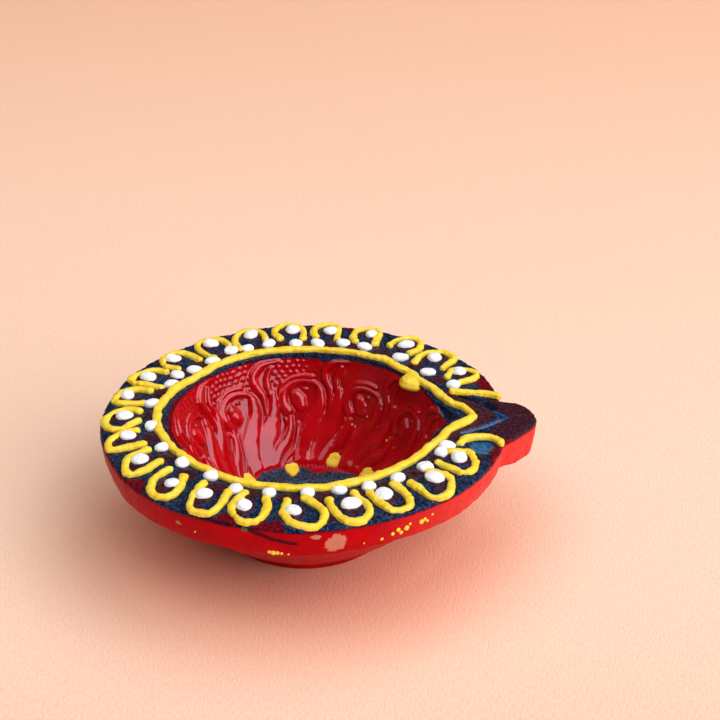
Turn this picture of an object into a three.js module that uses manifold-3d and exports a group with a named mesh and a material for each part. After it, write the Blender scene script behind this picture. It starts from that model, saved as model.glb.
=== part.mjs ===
// Painted clay diya: a shallow oil-lamp bowl with a broad flange, a pinched mouth and a leaf-shaped
// spout lobe, decorated on the flange with piped paint. Millimetres, +Z up, +X towards the spout.
// The origin is the middle of the foot, on the surface that the lamp stands on.
import * as THREE from 'three';
import { mergeVertices } from 'three/addons/utils/BufferGeometryUtils.js';
import Module from 'manifold-3d';

const wasm = await Module();
wasm.setup();

// Clay body
const FLANGE_TOP = 25.4;
const FLANGE_RADIUS = 40;
const FLANGE_THICKNESS = 6.2;
const FLANGE_DRAFT = 0.8;
const FOOT_RADIUS = 16.8;
const FOOT_HEIGHT = 1.8;
const FOOT_FLARE = 0.4;
// The rounded underside between the foot and the flange: [radius, height]
const UNDERSIDE = [[21.5, 4.6], [27, 9.5], [32.5, 15]];
const FLANGE_ROOT_RADIUS = 36.5;
const EDGE_ROUNDING = [0.3, 0.4];
const ROUND_SEGMENTS = 60;

// Bowl: its lip, its wall and its flat floor. Depths are measured down from the flange.
const LIP_RADIUS = 26.4;
const BOWL_RADIUS = 25.9;
const LIP_DEPTH = 1;
const BOWL_DEPTH = 21.5;
const FLOOR_RADIUS = 15.5;
const WALL_FULLNESS = 1.3;
const WALL_STEPS = 7;

// The line piped round the mouth, as [bearing, radius]. It is drawn out to a tip towards the spout.
const MOUTH_LINE = [
  [-2, 33.3], [4, 32.2], [10, 29.3], [20, 28], [30, 27.3], [42, 27.3], [56, 27.9], [80, 27.8],
  [110, 28.3], [130, 28.2], [148, 27.7], [160, 28.7], [180, 29.3], [195, 28.8], [210, 27.9],
  [225, 27.5], [250, 27.4], [280, 27.4], [310, 27.2], [330, 27.4], [342, 28.2], [350, 29.6], [354.5, 31.8],
];

// The channel in the pinched mouth, where the wick lies
const CHANNEL_DEPTH = 2.2;
const CHANNEL_SLOPE = 9;
const CHANNEL_BACK_X = 20;
const CHANNEL_THROAT_X = 25;
const CHANNEL_HALF_WIDTH = 8.2;
const CHANNEL_TIP_X = 31.2;
const CHANNEL_PULL = [28.4, 2.6];
const CHANNEL_CUT_HEIGHT = 6;

// Spout lobe in plan, clockwise shoulder first, and the lines carved in it
const LOBE = [
  [37.4, -10.8], [39.2, -9.4], [40.8, -7.9], [42.4, -6], [43.9, -4.2], [45.1, -2.7], [45.6, -1],
  [45.4, 1.4], [44.8, 3], [43.6, 4.8], [42.2, 5.7], [40.7, 6], [39.2, 6.1],
];
const LOBE_ROOT = [34, 9];
const LOBE_THICKNESS = 7.2;
const GROOVE_WIDTH = 1.1;
const GROOVE_DEPTH = 0.8;
const GROOVE_APEX = [40.1, 0];
const GROOVES = [
  { from: [31.5, 8.2], to: GROOVE_APEX },
  { from: [31.5, -6], to: GROOVE_APEX },
  { from: [33, 7.2], to: [40, 7] },
];
const HOLLOW_DEPTH = 0.9;
const HOLLOWS = [
  { at: [36, 4.7], length: 3.6, width: 2 },
  { at: [34.6, -11.6], length: 4.8, width: 5.2 },
];

// Piped paint
const BEAD_WIDTH = 1.7;
const BEAD_HEIGHT = 0.85;
const BEAD_SHOULDER_WIDTH = 0.72;
const BEAD_SHOULDER_HEIGHT = 0.72;
const BEAD_STEPS = 13;
const BLOB_WIDTH = 2.05;
const BLOB_HEIGHT = 0.95;
const MOUTH_LINE_WIDTH = 1.7;
const MOUTH_LINE_HEIGHT = 0.9;
const MOUTH_LINE_STEPS = 110;
const MOUTH_LINE_BEVEL = 0.45;
const MOUTH_LINE_CORE_HEIGHT = 0.4;
const DOT_HEIGHT = 1.3;
const DROP_SHOULDER_WIDTH = 0.74;
const DROP_SHOULDER_HEIGHT = 0.68;
const DOT_SEGMENTS = 10;
const BLOB_SEGMENTS = 6;

// Scroll relief on the bowl wall, the same pattern eleven times round
const SCROLL_COUNT = 11;
const SCROLL_FIRST_BEARING = 30.2;
const SCROLL_STEM_RADIUS = 1.15;
const SCROLL_FLAME_RADIUS = 0.85;
const RIDGE_SIDES = 4;
// [bearing from the scroll's eye in degrees, distance down the wall from the lip]
const SCROLL_STEM = [
  [6, 23], [0, 18.5], [-9, 14], [-13, 10], [-10, 6.4],
  [-2, 4.9], [6, 6.6], [7, 10], [1, 11],
];
const SCROLL_FLAME = [[-8, 1.6], [-9, 4], [-14, 8], [-17, 12], [-14, 17]];

// One row for each piped petal, anticlockwise from the spout. Bearings are in degrees from +X.
// at, half: the petal's middle and half its spread; out: how far out its closed end goes;
// lean: how far that end leans anticlockwise; feet: how far in each leg comes, clockwise leg first;
// tuck: how far each foot is drawn in towards the middle; dot: bearing, radius and width of its dot.
const PETALS = [
  { at: 27.5, half: 4.2, out: 39.1, lean: -1, feet: [34.4, 32.8], tuck: [0, 3], dot: [29.8, 36, 3.2] },
  { at: 41.8, half: 5.3, out: 39.6, lean: -1, feet: [34.2, 31.3], tuck: [-1.6, 2.7], dot: [42.3, 35.8, 3.2] },
  { at: 55.3, half: 4.9, out: 40, lean: 0.3, feet: [33.8, 34], tuck: [0.8, 0], dot: [55.6, 36.3, 3.2] },
  { at: 71.1, half: 4.5, out: 40, lean: -0.3, feet: [33.4, 32.8], tuck: [-1, 2.2], dot: [69.3, 37.3, 3] },
  { at: 85.2, half: 4.2, out: 40, lean: -0.3, feet: [32.9, 33.8], tuck: [-0.8, 0.8], dot: [83.3, 36.5, 3.5] },
  { at: 98, half: 5, out: 40, lean: 0, feet: [32.6, 33.3], tuck: [0.3, 1], dot: [96.6, 37, 3.4] },
  { at: 112.5, half: 5.4, out: 39.4, lean: -1, feet: [33.8, 31.2], tuck: [0, -0.8], dot: [111.3, 36.7, 3.3] },
  { at: 126.7, half: 5.1, out: 39.4, lean: -0.3, feet: [34.4, 31.2], tuck: [-0.4, 1.2], dot: [125.8, 37, 3.3] },
  { at: 141.5, half: 5.6, out: 39.1, lean: -0.4, feet: [32.5, 33], tuck: [0.4, 1.2], dot: [141.8, 36.8, 3.3] },
  { at: 155.8, half: 5, out: 39.2, lean: 2.3, feet: [34.4, 31.5], tuck: [-0.6, -0.8], dot: [156.3, 36.2, 3.4] },
  { at: 169.3, half: 4.9, out: 39.2, lean: 1.8, feet: [33.2, 33], tuck: [0.2, 0.7], dot: [169.3, 37, 3] },
  { at: 184.6, half: 6, out: 39.5, lean: 1, feet: [33, 33], tuck: [0.6, 4.8], dot: [182.6, 35.6, 3.3] },
  { at: 197.5, half: 4.6, out: 39.4, lean: 2, feet: [33.2, 32.7], tuck: [-0.4, 0.3], dot: [195.3, 34.9, 2.9] },
  { at: 211.9, half: 4.8, out: 39.3, lean: 2.5, feet: [32.7, 32.5], tuck: [-0.8, 1.6], dot: [210.8, 35.2, 3.3] },
  { at: 227.5, half: 5.2, out: 39.6, lean: 2, feet: [32.3, 32], tuck: [-1, 4.4], dot: [228.8, 35, 2.9] },
  { at: 242.6, half: 5, out: 39.6, lean: 1.2, feet: [31.2, 31.4], tuck: [-1.2, 1], dot: [240.3, 34.3, 3.3] },
  { at: 256.1, half: 5.2, out: 39.4, lean: 1, feet: [30.6, 31.3], tuck: [0.8, 1.4], dot: [254.3, 34.7, 3.2] },
  { at: 272.5, half: 5.9, out: 39.8, lean: 1, feet: [31.8, 30.8], tuck: [0.6, 5.6], dot: [269.1, 34.9, 3.3] },
  { at: 286.5, half: 5.1, out: 39.6, lean: -0.2, feet: [31.9, 31.1], tuck: [-0.8, 2], dot: [286.9, 34, 3.6] },
  { at: 299.8, half: 4.6, out: 39.2, lean: -0.2, feet: [31.6, 31.4], tuck: [-0.6, 0.3], dot: [298.1, 33.2, 3.7] },
  { at: 314.8, half: 5.7, out: 39.7, lean: -2.4, feet: [32.4, 32], tuck: [0, 1.6], dot: [317.1, 34.3, 3.6] },
  { at: 330, half: 5.5, out: 38.4, lean: -2.4, feet: [31.6, 31.9], tuck: [0, 2], dot: [331.6, 34, 3.5] },
];

// The single strokes on each side of the spout: [bearing, radius] along each
const SPOUT_STROKES = {
  spout_stroke_left: [[11.7, 39.6], [12.9, 38], [14.5, 35.5], [16.3, 33], [17.8, 31.4]],
  spout_stroke_right: [[-19.9, 32.3], [-17.2, 32.6], [-14.8, 34], [-13.4, 36.5], [-14, 38.4], [-15.2, 39.6]],
};

// Dabs of paint where the wall meets the floor, spaced by hand
const DAB_BEARINGS = [12, 40.5, 72.5, 104.5, 145.5, 174, 203, 231, 259, 287, 315, 343];
const DAB_RADIUS = 15.6;
const DAB_SIZE = [2.2, 1.4, 1.5];

const RED_PAINT = { color: '#b3121a', roughness: 0.35, metalness: 0 };
const YELLOW_PAINT = { color: '#f2cf27', roughness: 0.45, metalness: 0 };
const WHITE_PAINT = { color: '#eef0f4', roughness: 0.5, metalness: 0 };

// A closed geometry as a solid that can be joined and cut.
function solid(geometry) {
  const bare = geometry.clone();
  bare.deleteAttribute('normal');
  bare.deleteAttribute('uv');
  const merged = mergeVertices(bare, 1e-4);
  const corners = merged.index.array;
  const triangles = [];
  for (let i = 0; i < corners.length; i += 3) {
    const [a, b, c] = corners.slice(i, i + 3);
    if (a !== b && b !== c && c !== a) triangles.push(a, b, c);
  }
  const mesh = new wasm.Mesh({
    numProp: 3,
    vertProperties: Float32Array.from(merged.attributes.position.array),
    triVerts: Uint32Array.from(triangles),
  });
  return new wasm.Manifold(mesh);
}

// A named mesh of a solid, with a paint of its own.
function piece(name, shape, paint) {
  const { vertProperties, triVerts } = shape.getMesh();
  const geometry = new THREE.BufferGeometry();
  geometry.setAttribute('position', new THREE.BufferAttribute(vertProperties, 3));
  geometry.setIndex(new THREE.BufferAttribute(triVerts, 1));
  geometry.computeVertexNormals();
  const mesh = new THREE.Mesh(geometry, new THREE.MeshStandardMaterial(paint));
  mesh.name = name;
  return mesh;
}

// A point at a bearing and radius round the lamp's axis.
function polar(bearing, radius, height = FLANGE_TOP) {
  const angle = THREE.MathUtils.degToRad(bearing);
  return new THREE.Vector3(radius * Math.cos(angle), radius * Math.sin(angle), height);
}

// A solid turned about the lamp's axis from a closed profile of [radius, height].
function turned(profile, segments = ROUND_SEGMENTS) {
  const points = profile.map(([radius, height]) => new THREE.Vector2(radius, height));
  return solid(new THREE.LatheGeometry(points, segments).rotateX(Math.PI / 2));
}

// A plan outline raised from one height to another.
function raised(outline, bottom, top) {
  const settings = { depth: top - bottom, bevelEnabled: false, curveSegments: 10 };
  const geometry = new THREE.ExtrudeGeometry(outline, settings);
  return solid(geometry.translate(0, 0, bottom));
}

// The bowl wall from the lip to the floor, as a curve of [radius, height].
function wallCurve() {
  const points = [];
  for (let step = 0; step <= WALL_STEPS; step += 1) {
    const turn = (step / WALL_STEPS) * (Math.PI / 2);
    const inward = Math.max(Math.cos(turn), 0) ** (2 / WALL_FULLNESS);
    const down = Math.sin(turn) ** (2 / WALL_FULLNESS);
    const radius = FLOOR_RADIUS + (BOWL_RADIUS - FLOOR_RADIUS) * inward;
    const depth = LIP_DEPTH + (BOWL_DEPTH - LIP_DEPTH) * down;
    points.push(new THREE.Vector2(radius, FLANGE_TOP - depth));
  }
  return new THREE.SplineCurve(points);
}

const wall = wallCurve();
const wallLength = wall.getLength();

// A point on the bowl wall, some distance down from the lip.
function onWall(bearing, down) {
  const { x: radius, y: height } = wall.getPointAt(Math.min(down / wallLength, 1));
  return polar(bearing, radius, height);
}

// The outline of the mouth, some margin outside its piped line, or inside it if the margin is negative.
function mouthOutline(margin) {
  const line = new THREE.CatmullRomCurve3(MOUTH_LINE.map(([b, r]) => polar(b, r, 0)), true, 'centripetal');
  const outline = [];
  for (let step = 0; step < MOUTH_LINE_STEPS; step += 1) {
    const point = line.getPointAt(step / MOUTH_LINE_STEPS);
    const way = line.getTangentAt(step / MOUTH_LINE_STEPS);
    outline.push(new THREE.Vector2(point.x + margin * way.y, point.y - margin * way.x));
  }
  return new THREE.Shape(outline);
}

// The spout lobe in plan: a leaf with a blunt tip, wider on its clockwise side.
function lobeOutline() {
  const edge = new THREE.SplineCurve(LOBE.map(([x, y]) => new THREE.Vector2(x, y)));
  const outline = new THREE.Shape(edge.getPoints(18));
  outline.lineTo(LOBE_ROOT[0], LOBE_ROOT[1]);
  outline.lineTo(LOBE_ROOT[0], LOBE[0][1]);
  outline.closePath();
  return outline;
}

// A ridge of clay along a smooth line: a rod with a four-sided section.
function ridge(points, radius, steps) {
  const corners = [];
  for (let side = 0; side < RIDGE_SIDES; side += 1) {
    const angle = (side / RIDGE_SIDES) * 2 * Math.PI;
    corners.push(new THREE.Vector2(radius * Math.cos(angle), radius * Math.sin(angle)));
  }
  const line = new THREE.CatmullRomCurve3(points, false, 'centripetal');
  return solid(new THREE.ExtrudeGeometry(new THREE.Shape(corners), { steps, extrudePath: line }));
}

// The outside of the body, without the bowl: foot, rounded underside, flange and spout lobe.
function bodyBlank() {
  const flangeBottom = FLANGE_TOP - FLANGE_THICKNESS;
  const turnedBody = turned([
    [0, 0],
    [FOOT_RADIUS, 0],
    [FOOT_RADIUS + FOOT_FLARE, FOOT_HEIGHT],
    ...UNDERSIDE,
    [FLANGE_ROOT_RADIUS, flangeBottom],
    [FLANGE_RADIUS - FLANGE_DRAFT, flangeBottom],
    [FLANGE_RADIUS, FLANGE_TOP - EDGE_ROUNDING[1]],
    [FLANGE_RADIUS - EDGE_ROUNDING[0], FLANGE_TOP],
    [0, FLANGE_TOP],
  ]);
  return turnedBody.add(raised(lobeOutline(), FLANGE_TOP - LOBE_THICKNESS, FLANGE_TOP));
}

// The hollow of the bowl, from just above the flange down to the floor.
function bowlHollow() {
  const above = FLANGE_TOP + 1;
  const profile = [[0, above], [LIP_RADIUS + 1, above], [LIP_RADIUS, FLANGE_TOP]];
  for (const { x, y } of wall.getPoints(WALL_STEPS)) profile.push([x, y]);
  profile.push([0, FLANGE_TOP - BOWL_DEPTH]);
  return turned(profile.reverse());
}

// The shallow channel in the pinched mouth. Its floor rises from the bowl to the tip.
function tipChannel() {
  const [pullX, pullY] = CHANNEL_PULL;
  const outline = new THREE.Shape();
  outline.moveTo(CHANNEL_BACK_X, -CHANNEL_HALF_WIDTH);
  outline.lineTo(CHANNEL_THROAT_X, -CHANNEL_HALF_WIDTH);
  outline.quadraticCurveTo(pullX, -pullY, CHANNEL_TIP_X, 0);
  outline.quadraticCurveTo(pullX, pullY, CHANNEL_THROAT_X, CHANNEL_HALF_WIDTH);
  outline.lineTo(CHANNEL_BACK_X, CHANNEL_HALF_WIDTH);
  outline.closePath();
  const settings = { depth: CHANNEL_CUT_HEIGHT, bevelEnabled: false, curveSegments: 8 };
  const geometry = new THREE.ExtrudeGeometry(outline, settings);
  geometry.translate(-BOWL_RADIUS, 0, 0);
  geometry.rotateY(THREE.MathUtils.degToRad(-CHANNEL_SLOPE));
  geometry.translate(BOWL_RADIUS, 0, FLANGE_TOP - CHANNEL_DEPTH);
  return solid(geometry);
}

// A straight line carved in the flange between two plan points.
function carvedLine({ from, to }) {
  const length = Math.hypot(to[0] - from[0], to[1] - from[1]);
  const angle = Math.atan2(to[1] - from[1], to[0] - from[0]);
  const geometry = new THREE.BoxGeometry(length, GROOVE_WIDTH, 2 * GROOVE_DEPTH);
  geometry.rotateZ(angle);
  geometry.translate((from[0] + to[0]) / 2, (from[1] + to[1]) / 2, FLANGE_TOP);
  return solid(geometry);
}

// A shallow oval hollow pressed in the flange.
function hollow({ at, length, width }) {
  const geometry = new THREE.SphereGeometry(1, 16, 10);
  geometry.scale(length / 2, width / 2, HOLLOW_DEPTH);
  return solid(geometry.translate(at[0], at[1], FLANGE_TOP));
}

// One scroll: a stem that rises from the floor, arches over and curls in, and the flame beside it.
function scroll(bearing) {
  const lineOf = (points) => points.map(([turn, down]) => onWall(bearing + turn, down));
  const stem = ridge(lineOf(SCROLL_STEM), SCROLL_STEM_RADIUS, 12);
  const flame = ridge(lineOf(SCROLL_FLAME), SCROLL_FLAME_RADIUS, 5);
  return stem.add(flame);
}

// The clay: the blank, the bowl with its scrolls, the channel in the mouth and the carving on the spout.
function clayBody() {
  let body = bodyBlank().subtract(bowlHollow());
  for (let i = 0; i < SCROLL_COUNT; i += 1) {
    body = body.add(scroll(SCROLL_FIRST_BEARING + (i * 360) / SCROLL_COUNT));
  }
  body = body.subtract(tipChannel());
  for (const groove of GROOVES) body = body.subtract(carvedLine(groove));
  for (const dent of HOLLOWS) body = body.subtract(hollow(dent));
  return body;
}

// A drop of paint with a flat underside.
function drop(width, height, segments) {
  const half = width / 2;
  const shoulder = [DROP_SHOULDER_WIDTH * half, DROP_SHOULDER_HEIGHT * height];
  return turned([[0, 0], [half, 0], shoulder, [0, height]], segments);
}

// A piped bead along a line on the flange, with a rounder blob where it starts and stops.
function bead(points) {
  const half = BEAD_WIDTH / 2;
  const shoulder = [-BEAD_SHOULDER_HEIGHT * BEAD_HEIGHT, BEAD_SHOULDER_WIDTH * half];
  const section = new THREE.Shape();
  section.moveTo(0, -half);
  section.lineTo(0, half);
  section.lineTo(shoulder[0], shoulder[1]);
  section.lineTo(-BEAD_HEIGHT, 0);
  section.lineTo(shoulder[0], -shoulder[1]);
  section.closePath();
  const line = new THREE.CatmullRomCurve3(points, false, 'centripetal');
  let paint = solid(new THREE.ExtrudeGeometry(section, { steps: BEAD_STEPS, extrudePath: line }));
  for (const end of [points[0], points[points.length - 1]]) {
    paint = paint.add(drop(BLOB_WIDTH, BLOB_HEIGHT, BLOB_SEGMENTS).translate(end.toArray()));
  }
  return paint;
}

// The line of one petal: up one leg, round the closed end and down the other leg.
function petalLine({ at, half, out, lean, feet, tuck }) {
  return [
    polar(at - half + tuck[0], feet[0]),
    polar(at - half, (feet[0] + out) / 2),
    polar(at + lean - 0.55 * half, out - 0.7),
    polar(at + lean, out - 0.1),
    polar(at + lean + 0.55 * half, out - 0.7),
    polar(at + half, (feet[1] + out) / 2),
    polar(at + half - tuck[1], feet[1]),
  ];
}

// The piped line round the mouth.
function mouthLine() {
  const edge = MOUTH_LINE_WIDTH / 2 - MOUTH_LINE_BEVEL;
  const outline = mouthOutline(edge);
  outline.holes.push(mouthOutline(-edge));
  const geometry = new THREE.ExtrudeGeometry(outline, {
    depth: MOUTH_LINE_CORE_HEIGHT,
    bevelThickness: MOUTH_LINE_HEIGHT - MOUTH_LINE_CORE_HEIGHT,
    bevelSize: MOUTH_LINE_BEVEL,
    bevelSegments: 2,
  });
  const below = solid(new THREE.BoxGeometry(100, 100, 10).translate(0, 0, FLANGE_TOP - 5));
  return solid(geometry.translate(0, 0, FLANGE_TOP)).subtract(below);
}

// A dab of paint in the corner between the bowl's wall and floor.
function floorDab(bearing, body) {
  const geometry = new THREE.SphereGeometry(1, 8, 6).scale(...DAB_SIZE);
  geometry.rotateZ(THREE.MathUtils.degToRad(bearing));
  const place = polar(bearing, DAB_RADIUS, FLANGE_TOP - BOWL_DEPTH + 0.1);
  return solid(geometry.translate(...place.toArray())).subtract(body);
}

const diya = new THREE.Group();
const body = clayBody();
const mouth = mouthLine();
diya.add(piece('clay_body', body, RED_PAINT));
diya.add(piece('mouth_line', mouth, YELLOW_PAINT));

for (const [name, points] of Object.entries(SPOUT_STROKES)) {
  diya.add(piece(name, bead(points.map(([bearing, radius]) => polar(bearing, radius))), YELLOW_PAINT));
}

// Each petal stops where it meets the one piped before it, and its dot sits over whatever it touches.
let before = mouth;
PETALS.forEach((petal, i) => {
  const number = String(i + 1).padStart(2, '0');
  const [bearing, radius, width] = petal.dot;
  const loop = bead(petalLine(petal)).subtract(before);
  const dot = drop(width, DOT_HEIGHT, DOT_SEGMENTS).translate(polar(bearing, radius).toArray());
  diya.add(piece(`petal_loop_${number}`, loop, YELLOW_PAINT));
  diya.add(piece(`petal_dot_${number}`, dot.subtract(loop), WHITE_PAINT));
  before = loop;
});
DAB_BEARINGS.forEach((bearing, i) => {
  const number = String(i + 1).padStart(2, '0');
  diya.add(piece(`floor_dab_${number}`, floorDab(bearing, body), YELLOW_PAINT));
});

export default diya;
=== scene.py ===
import math

import bmesh
import bpy
import numpy as np
from mathutils import Matrix, Vector


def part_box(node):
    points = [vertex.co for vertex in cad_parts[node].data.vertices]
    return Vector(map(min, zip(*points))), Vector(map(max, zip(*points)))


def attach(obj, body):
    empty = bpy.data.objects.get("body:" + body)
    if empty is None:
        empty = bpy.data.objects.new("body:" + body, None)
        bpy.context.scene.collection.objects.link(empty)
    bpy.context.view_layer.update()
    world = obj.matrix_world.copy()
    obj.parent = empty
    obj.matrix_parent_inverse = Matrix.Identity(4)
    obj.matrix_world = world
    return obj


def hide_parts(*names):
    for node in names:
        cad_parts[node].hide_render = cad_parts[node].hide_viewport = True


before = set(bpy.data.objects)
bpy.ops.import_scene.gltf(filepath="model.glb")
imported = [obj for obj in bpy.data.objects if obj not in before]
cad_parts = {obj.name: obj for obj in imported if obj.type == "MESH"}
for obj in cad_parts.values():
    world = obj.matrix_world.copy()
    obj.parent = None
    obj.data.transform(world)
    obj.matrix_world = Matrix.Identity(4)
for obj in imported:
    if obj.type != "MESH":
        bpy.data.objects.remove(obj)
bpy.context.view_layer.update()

# A hand-painted clay diya. Lengths in this file are in millimetres unless a name says otherwise, and
# become metres when a mesh is made. Bearings are in degrees, anticlockwise from +X, where the spout is.
MM = 0.001

# Clay body, as in the CAD frame
FLANGE_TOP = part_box("mouth_line")[0].z / MM
FLANGE_THICKNESS = 6.2
LOBE_THICKNESS = 7.2
FLANGE_DRAFT = 0.8
FLANGE_ROOT_RADIUS = 36.5
FOOT_RADIUS = 16.8
FOOT_FLARE = 0.4
FOOT_HEIGHT = 1.8
UNDERSIDE = [(21.5, 4.6), (27.0, 9.5), (32.5, 15.0)]

# Where the rounding of the flange's top ends
CROWN_END = 39.6

BOWL_RADIUS = 26.4
FLOOR_RADIUS = 15.0
BOWL_DEPTH = 21.5
LIP_DEPTH = 0.4
WALL_FULLNESS = 1.3
# The wall's top swells outwards under the pinched mouth
MOUTH_SWELL = {"bearing": 1.0, "spread": 8.0, "out": 2.0, "depth": 9.0}
CHANNEL_DEPTH = 2.2
CHANNEL_SLOPE = math.tan(math.radians(9))

# How finely the body is meshed: columns round it, and rows along each part of its section
COLUMNS = 880
FLOOR_ROWS = 22
WALL_ROWS = 100
LEDGE_ROWS = 7
LIP_ROWS = 4
TOP_ROWS = 46
EDGE_ROWS = 5
SIDE_ROWS = 10
SHELF_ROWS = 6
# The last rows, under the foot, which carry no unevenness
FLAT_FOOT_ROWS = 5

# Scroll relief on the bowl wall: the bearing of each scroll's eye, and the strokes of one
# scroll. A stroke is its points, as (degrees from the eye, mm down the wall) in a cell SCROLL_CELL degrees
# wide, and its width in mm at the start, the middle and the end.
EYES = (30, 62, 96, 133, 163, 194, 225, 257, 290, 322, 355)
SCROLL_CELL = 33.0
RELIEF_HEIGHT = 0.72
# The radius at which the scrolls' unevenness is worked out
SCROLL_NOISE_RADIUS = 22
SCROLL_STROKES = [
    ([(-11, 13.6), (-12.4, 11), (-11.6, 8.5), (-9, 6.7), (-5, 6.0), (0, 5.9), (4.5, 6.6), (7.5, 8.2),
      (7.6, 10.2), (5.8, 11.8)], (0.6, 0.55, 1.1)),
    ([(10.5, 12), (10.6, 9.5), (8.6, 6.8), (4.5, 5.2), (-1, 4.7), (-6, 4.9)], (0.3, 0.4, 0.6)),
    ([(1.8, 8.6), (0.4, 9.8), (-0.8, 11)], (1.1, 1.6, 1.2)),
    ([(-3.4, 7.6), (-2.6, 7.6)], (0.32, 0.36, 0.32)),
    ([(-10.6, 8), (-10.6, 11), (-7.6, 14.5), (-4.6, 17.5), (-2.5, 20.5), (-1.5, 23), (-1.2, 26)],
     (0.9, 2.3, 2.1)),
    ([(-20.5, 7.4), (-20.2, 10), (-18.8, 12.8), (-15.8, 15.8), (-12.6, 18.6), (-10, 21), (-8.4, 26)],
     (0.7, 2.5, 1.2)),
    ([(-20.5, 2.2), (-18.5, 4.4), (-19, 7), (-21.4, 9.4)], (0.45, 0.75, 0.5)),
    ([(-24, 0.8), (-19, 1.0), (-15, 2.0), (-12.6, 3.6), (-13.2, 5.4), (-15.6, 7.4), (-16.4, 9.4),
      (-16.4, 12)], (0.5, 0.95, 0.4)),
    ([(-28, 13.2), (-27, 15.8), (-24, 18.2), (-19, 20.2), (-15, 22.5), (-13, 25)], (0.6, 1.6, 1.2)),
    ([(-32, 14.6), (-30.6, 18), (-28, 20.4), (-24, 21.7), (-20, 23.2), (-17, 25.4)], (0.3, 0.45, 0.5)),
    ([(-25, 23.6), (-23.8, 23.5)], (0.6, 0.7, 0.6)),
    ([(7.6, 13.2), (6.2, 15.2), (7.6, 17.6), (10.4, 19.4)], (0.3, 0.55, 0.3)),
]
# Studs between the scrolls, in staggered rows
STUD_SPACING = 1.35
STUD_ROW = 0.87 * STUD_SPACING
STUD_RADIUS = 0.37
STUD_HEIGHT = 0.3
STUD_AREA = {"from": -10.5, "to": 13.5, "top": 0.2, "bottom": 6.6}
# How strongly the studs show through the enamel: (bearing, share)
STUD_SHOW = [(0, 0.4), (40, 0.0), (86, 0.0), (97, 1.0), (143, 1.0), (155, 0.5), (170, 0.3), (360, 0.4)]

# Carving on the spout, in plan
SPOUT_GROOVES = {
    "back_v": {"line": [(31.0, 8.8), (34.5, 5.9), (38.0, 2.4), (40.3, 0.0)], "width": 0.75, "depth": 0.85},
    "front_v": {"line": [(31.0, -6.4), (35.2, -4.2), (38.0, -2.0), (40.3, 0.0)], "width": 0.7, "depth": 0.8},
    "crease": {"line": [(33.0, 7.2), (40.0, 7.0)], "width": 0.6, "depth": 0.5},
    "nose": {"line": [(40.3, 0.0), (45.5, 0.6)], "width": 0.5, "depth": 0.3},
}
SPOUT_HOLLOWS = {
    "back_hollow": {"at": (36.2, 5.0), "size": (3.0, 1.3), "turn": -35, "depth": 0.9},
    "front_hollow": {"at": (34.8, -11.4), "size": (2.7, 3.1), "turn": 10, "depth": 0.9},
}

# The bands of brown along the V at the spout, in plan
SPOUT_BANDS = [
    [(29.0, 11.0), (31.4, 7.4), (34.0, 3.6), (36.3, 0.2)],
    [(36.3, 0.2), (33.6, -2.6), (30.0, -5.8), (29.0, -8.0)],
]

# How many petals the CAD frame has, and how many dabs on its floor
PETALS = 22
FLOOR_DABS = 12

# White dots in a ring between the mouth line and the petals: (bearing, radius, width)
RING_DOTS = [
    (22.3, 32.4, 2.8), (35.3, 30.6, 2.8), (51.6, 31.0, 3.0), (68.3, 31.3, 3.0), (77.3, 31.5, 2.9),
    (87.3, 30.5, 3.0), (96.3, 30.4, 2.9), (106.9, 31.5, 2.9), (116.1, 30.8, 2.6), (122.3, 31.8, 3.1),
    (133.3, 29.8, 3.0), (143.3, 29.8, 3.0), (150.0, 31.4, 2.9), (157.1, 30.3, 2.9), (173.3, 31.0, 2.9),
    (190.3, 30.2, 2.7), (206.8, 29.8, 2.7), (220.3, 28.9, 3.0), (235.1, 28.4, 2.9), (247.8, 30.0, 2.7),
    (260.0, 29.4, 2.5), (273.7, 29.0, 2.7), (285.1, 29.0, 2.6), (296.0, 29.7, 2.5), (307.8, 29.9, 2.7),
    (319.8, 30.7, 3.0), (331.3, 30.3, 2.8), (336.8, 30.3, 3.0),
]
RING_DOT_HEIGHT = 0.85
PETAL_DOT_HEIGHT = 1.0

# How far the navy paint comes down inside the bowl: (bearing, mm below the lip)
NAVY_BAND = [
    (0, 0.3), (30, 0.3), (50, 0.4), (62, 0.5), (75, 0.5), (79, 0.8), (83, 1.5), (87, 1.0), (95, 0.7),
    (104, 0.4), (115, 0.3), (135, 0.3), (155, 0.2), (180, 0.1), (230, 0.1), (320, 0.1), (360, 0.3),
]
# How far out the red of the bowl laps over its lip: (bearing, radius)
RED_LIP = [
    (0, 20), (152, 20), (160, 26.6), (170, 27.1), (198, 27.1), (208, 26.5), (216, 20), (360, 20),
]
# Where the navy of the floor begins, measured down the wall and on across the floor: (bearing, mm)
FLOOR_EDGE = [
    (0, 24.2), (45, 23.8), (60, 24.6), (72, 25.4), (78, 26.6), (86, 26.4), (92, 25.2), (97, 24.2),
    (112, 24.0), (130, 23.9), (138, 24.8), (150, 24.2), (360, 24.2),
]
# How far the red enamel shows on the flange top inside its outer edge: (bearing, mm). Where it is less
# than nothing, the navy laps over the edge.
RED_MARGIN = [
    (0, -0.5), (10, -0.4), (14, 1.2), (17, 2.8), (22, 2.8), (25, 0.2), (60, 0.0), (73, -0.3), (75, 1.6),
    (78, 1.8), (81, 0.0), (140, 0.1), (210, 0.1), (217, 0.2), (219, 2.2), (222, 2.4), (225, 0.0),
    (235, -0.4), (248, -0.4), (250, 2.4), (253, 2.2), (255, -0.6), (259, -0.3), (261, 2.0), (266, 2.2),
    (268, -0.4), (276, -0.2), (300, -0.5), (330, -0.4), (336, 0.6), (341, 2.2), (346, 1.2), (349, -0.4),
    (360, -0.5),
]

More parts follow.
